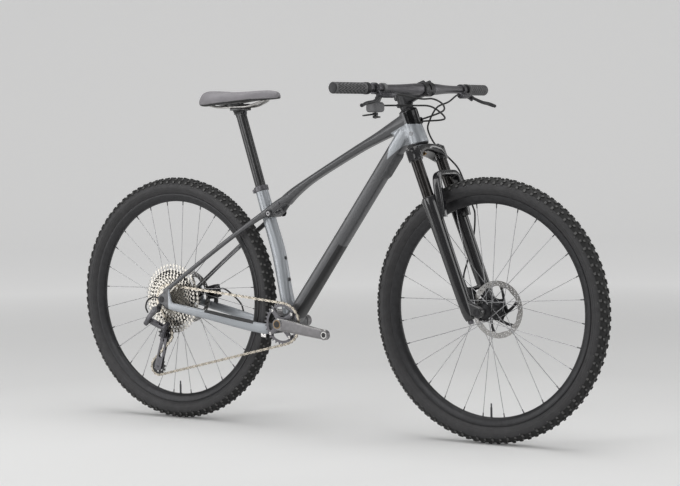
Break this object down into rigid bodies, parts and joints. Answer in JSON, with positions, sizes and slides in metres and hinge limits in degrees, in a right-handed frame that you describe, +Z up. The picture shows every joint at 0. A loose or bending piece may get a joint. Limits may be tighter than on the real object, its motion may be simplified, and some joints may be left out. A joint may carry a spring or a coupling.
{
  "type": "mountain bike",
  "caption": "Hardtail mountain bike with a sloping frame, telescopic suspension fork, disc brakes, wide flat handlebar, rear derailleur and knobbly tyres.",
  "frame": {"origin": "on the floor, midway between the wheel axles, in the bike's middle plane", "axes": "+X forward along the wheelbase, +Y to the rider's left, +Z up"},
  "size_m": [1.84, 0.7832, 1.0001],
  "materials": {
    "frame_paint": "satin metallic paint",
    "gloss_black": "gloss black paint",
    "satin_black": "satin black anodised",
    "black_plastic": "matt black moulded plastic",
    "rubber": "matt black rubber",
    "tyre": "matt black tyre rubber",
    "saddle_cover": "smooth dark synthetic cover",
    "steel": "bright steel",
    "chain_steel": "warm silver coated steel",
    "grey_alloy": "dark grey anodised"
  },
  "bodies": {
    "frame": {"frame": "frame_paint", "headset_upper": "satin_black", "headset_lower": "satin_black", "bottom_bracket": "satin_black", "seat_collar": "satin_black", "pivot_axle": "satin_black", "derailleur_hanger": "satin_black", "rear_axle": "satin_black", "rear_caliper": "satin_black", "chainstay_guard": "rubber", "downtube_bumper": "rubber", "chain": "chain_steel", "derailleur_knuckle": "satin_black", "shift_housing": "rubber", "rear_brake_hose": "rubber", "rear_hose_tail": "rubber", "derailleur_housing": "rubber"},
    "steering": {"fork_crown": "gloss_black", "stanchion_right": "satin_black", "stanchion_left": "satin_black", "stem": "satin_black", "stem_faceplate": "satin_black", "handlebar": "satin_black", "grip_right": "rubber", "grip_left": "rubber", "brake_body_right": "satin_black", "brake_body_left": "satin_black", "shifter_body": "black_plastic", "front_brake_hose": "rubber"},
    "lockout_dial": {"lockout_dial": "satin_black"},
    "brake_lever_right": {"brake_lever_right": "satin_black"},
    "brake_lever_left": {"brake_lever_left": "satin_black"},
    "shift_paddle": {"shift_paddle": "black_plastic"},
    "shift_trigger": {"shift_trigger": "black_plastic"},
    "fork_lower": {"fork_lowers": "gloss_black", "front_axle": "satin_black", "front_caliper": "satin_black"},
    "rebound_knob": {"rebound_knob": "grey_alloy"},
    "front_wheel": {"front_tyre": "tyre", "front_rim": "satin_black", "front_hub": "steel", "front_rotor": "steel"},
    "rear_wheel": {"rear_tyre": "tyre", "rear_rim": "satin_black", "rear_hub": "steel", "rear_rotor": "steel"},
    "cassette": {"cassette": "chain_steel", "freehub": "grey_alloy"},
    "crank": {"crank_right": "grey_alloy", "crank_left": "grey_alloy", "chainring": "satin_black"},
    "derailleur_link": {"derailleur_link": "satin_black"},
    "derailleur_p_knuckle": {"derailleur_p_knuckle": "satin_black"},
    "derailleur_cage": {"derailleur_cage": "grey_alloy"},
    "guide_pulley": {"guide_pulley": "black_plastic"},
    "tension_pulley": {"tension_pulley": "black_plastic"},
    "seat": {"seatpost": "gloss_black", "seatpost_clamp": "satin_black", "saddle": "saddle_cover", "saddle_rails": "steel"}
  },
  "joints": [
    {"name": "steering", "type": "hinge", "parent": "frame", "child": "steering", "pos_m": [0.32905, 0, 0.82602], "axis": [-0.3584, 0, 0.9336], "range_deg": [-55, 55], "deforming": ["rear_brake_hose", "shift_housing"]},
    {"name": "fork_travel", "type": "slide", "parent": "steering", "child": "fork_lower", "axis": [-0.3584, 0, 0.9336], "range_m": [0, 0.1], "stiffness_N_per_m": 6000, "springref_m": -0.01, "deforming": ["front_brake_hose"]},
    {"name": "front_wheel_spin", "type": "hinge", "parent": "fork_lower", "child": "front_wheel", "pos_m": [0.552, 0, 0.368], "axis": [0, 1, 0], "continuous": true},
    {"name": "rear_wheel_spin", "type": "hinge", "parent": "frame", "child": "rear_wheel", "pos_m": [-0.552, 0, 0.368], "axis": [0, 1, 0], "continuous": true},
    {"name": "crank_spin", "type": "hinge", "parent": "frame", "child": "crank", "pos_m": [-0.12304, 0, 0.309], "axis": [0, 1, 0], "continuous": true, "deforming": ["chain"]},
    {"name": "cassette_spin", "type": "hinge", "parent": "frame", "child": "cassette", "pos_m": [-0.552, 0, 0.368], "axis": [0, 1, 0], "continuous": true},
    {"name": "derailleur_swing", "type": "hinge", "parent": "frame", "child": "derailleur_link", "pos_m": [-0.605, -0.078, 0.303], "axis": [0.1982, 0.8148, 0.5448], "range_deg": [-18, 36], "deforming": ["chain"]},
    {"name": "derailleur_level", "type": "hinge", "parent": "derailleur_link", "child": "derailleur_p_knuckle", "pos_m": [-0.54862, -0.078, 0.28249], "axis": [0.1982, 0.8148, 0.5448], "range_deg": [-36, 18]},
    {"name": "cage_swing", "type": "hinge", "parent": "derailleur_p_knuckle", "child": "derailleur_cage", "pos_m": [-0.566, -0.049, 0.2584], "axis": [0, 1, 0], "range_deg": [-35, 20], "stiffness_Nm_per_rad": 1.5, "deforming": ["chain"]},
    {"name": "guide_pulley_spin", "type": "hinge", "parent": "derailleur_cage", "child": "guide_pulley", "pos_m": [-0.566, -0.049, 0.2584], "axis": [0, 1, 0], "continuous": true},
    {"name": "tension_pulley_spin", "type": "hinge", "parent": "derailleur_cage", "child": "tension_pulley", "pos_m": [-0.59648, -0.049, 0.15959], "axis": [0, 1, 0], "continuous": true},
    {"name": "brake_lever_right", "type": "hinge", "parent": "steering", "child": "brake_lever_right", "pos_m": [0.35597, -0.243, 0.95797], "axis": [-0.6292, 0, -0.7772], "range_deg": [0, 24], "stiffness_Nm_per_rad": 2},
    {"name": "brake_lever_left", "type": "hinge", "parent": "steering", "child": "brake_lever_left", "pos_m": [0.35597, 0.243, 0.95797], "axis": [0.6292, 0, 0.7772], "range_deg": [0, 24], "stiffness_Nm_per_rad": 2},
    {"name": "shift_paddle", "type": "hinge", "parent": "steering", "child": "shift_paddle", "pos_m": [0.31637, -0.2, 0.92986], "axis": [0, 0, 1], "range_deg": [0, 28], "stiffness_Nm_per_rad": 0.6},
    {"name": "shift_trigger", "type": "hinge", "parent": "steering", "child": "shift_trigger", "pos_m": [0.31637, -0.2, 0.92986], "axis": [0, 0, 1], "range_deg": [-18, 0], "stiffness_Nm_per_rad": 0.6},
    {"name": "lockout_dial", "type": "hinge", "parent": "steering", "child": "lockout_dial", "pos_m": [0.34674, -0.065, 0.81621], "axis": [-0.3584, 0, 0.9336], "range_deg": [0, 90]},
    {"name": "rebound_knob", "type": "hinge", "parent": "fork_lower", "child": "rebound_knob", "pos_m": [0.52736, -0.065, 0.34569], "axis": [-0.3584, 0, 0.9336], "range_deg": [-170, 170]},
    {"name": "seatpost_height", "type": "slide", "parent": "frame", "child": "seat", "axis": [-0.304, 0, 0.9527], "range_m": [-0.1, 0.05]}
  ],
  "couplings": [
    {"joint": "cassette_spin", "follows": "crank_spin", "ratio": 1.4286},
    {"joint": "guide_pulley_spin", "follows": "crank_spin", "ratio": -2.3077},
    {"joint": "tension_pulley_spin", "follows": "crank_spin", "ratio": 2.3077},
    {"joint": "derailleur_level", "follows": "derailleur_swing", "ratio": -1}
  ]
}
